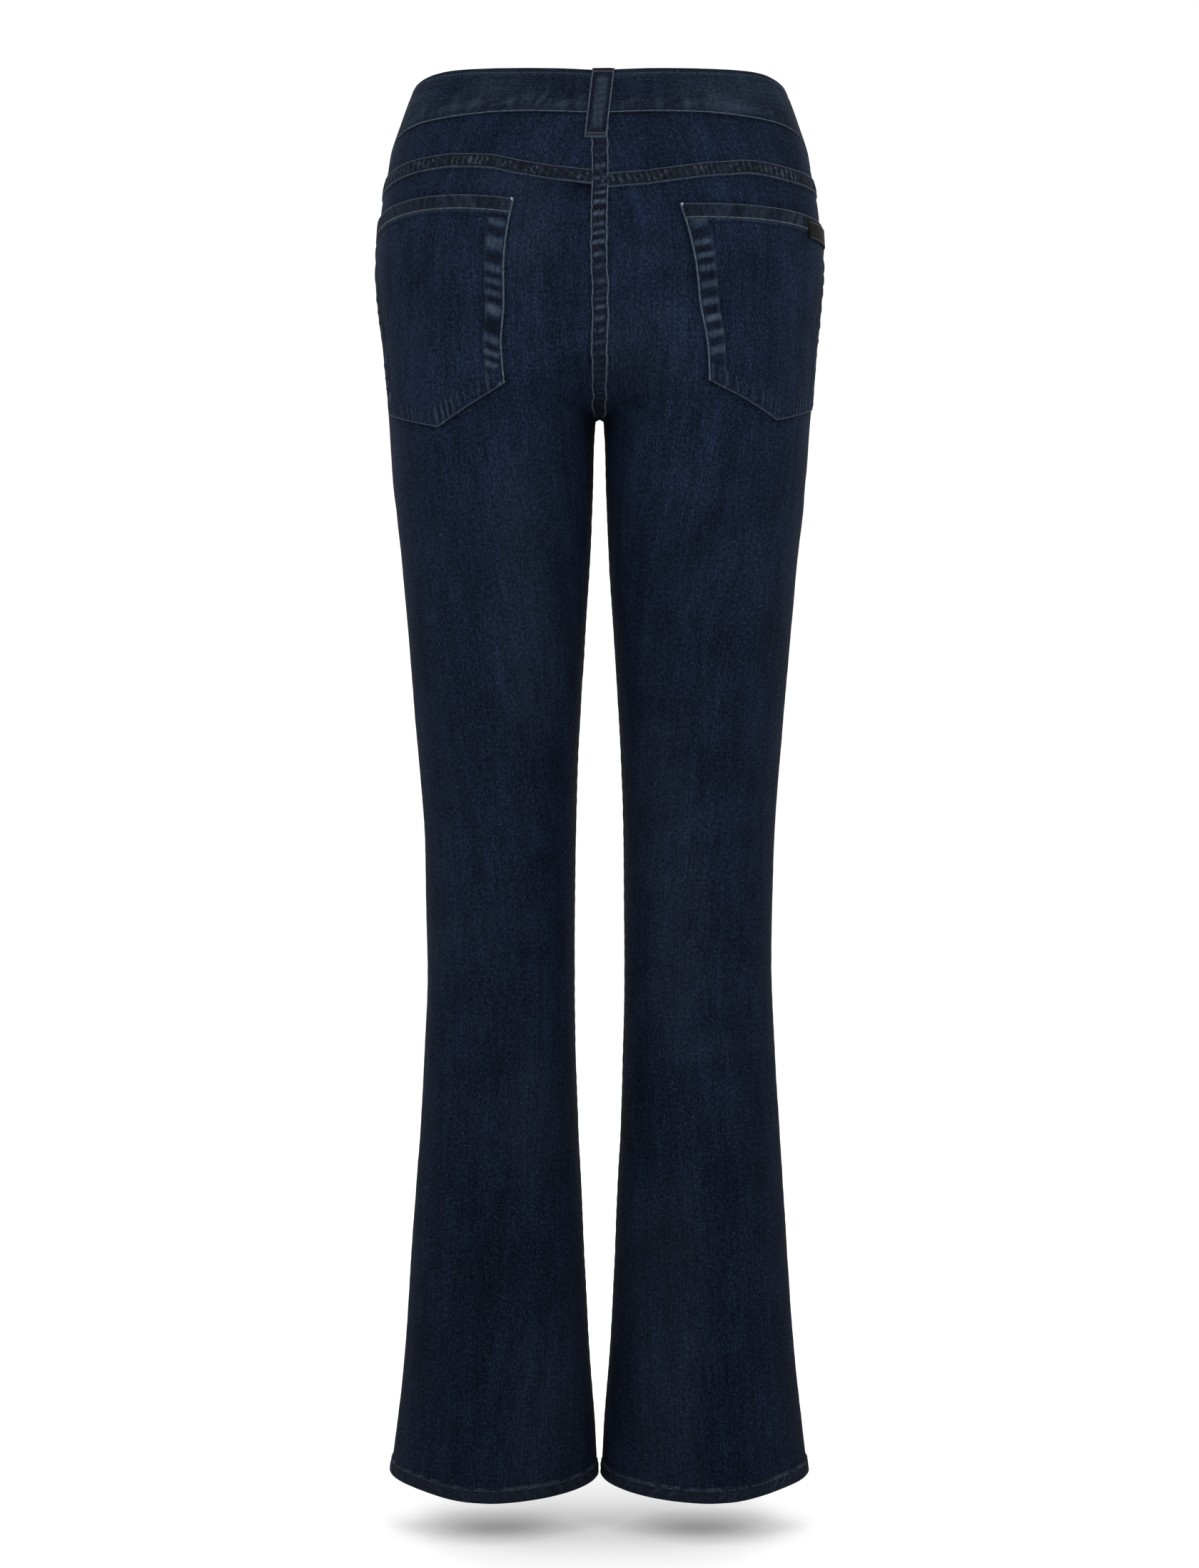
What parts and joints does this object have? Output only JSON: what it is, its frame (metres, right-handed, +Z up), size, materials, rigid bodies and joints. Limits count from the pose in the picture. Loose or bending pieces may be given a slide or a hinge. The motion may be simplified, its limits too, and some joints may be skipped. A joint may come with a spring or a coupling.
{
  "type": "bootcut jeans, filled out with no wearer",
  "caption": "Dark denim bootcut jeans held up at the waist: waistband with belt loops, V yoke, pointed back pockets, scoop front pockets, hollow hips and flared legs.",
  "frame": {"origin": "centre of the waist opening, level with the waistband's upper edge at the sides", "axes": "+Z up towards the waist opening, +Y towards the front of the jeans, +X towards the wearer's right"},
  "size_m": [0.3464, 0.2347, 1.0753],
  "materials": {
    "denim": "dark indigo stretch denim, matt twill with pale flecks",
    "band_denim": "dark indigo denim, a little faded along its edges",
    "tab": "plain black woven tape",
    "button": "aged satin brass"
  },
  "bodies": {
    "root": {"back_leg_left": "denim", "back_leg_right": "denim", "front_leg_left": "denim", "front_leg_right": "denim", "yoke_left": "denim", "yoke_right": "denim", "front_pocket_facing_left": "denim", "front_pocket_facing_right": "denim", "back_pocket_left": "denim", "back_pocket_right": "denim", "waistband": "band_denim", "belt_loop_centre_back": "band_denim", "belt_loop_side_left": "band_denim", "belt_loop_side_right": "band_denim", "belt_loop_front_left": "band_denim", "belt_loop_front_right": "band_denim", "pocket_tab": "tab", "waist_button": "button"}
  },
  "joints": []
}
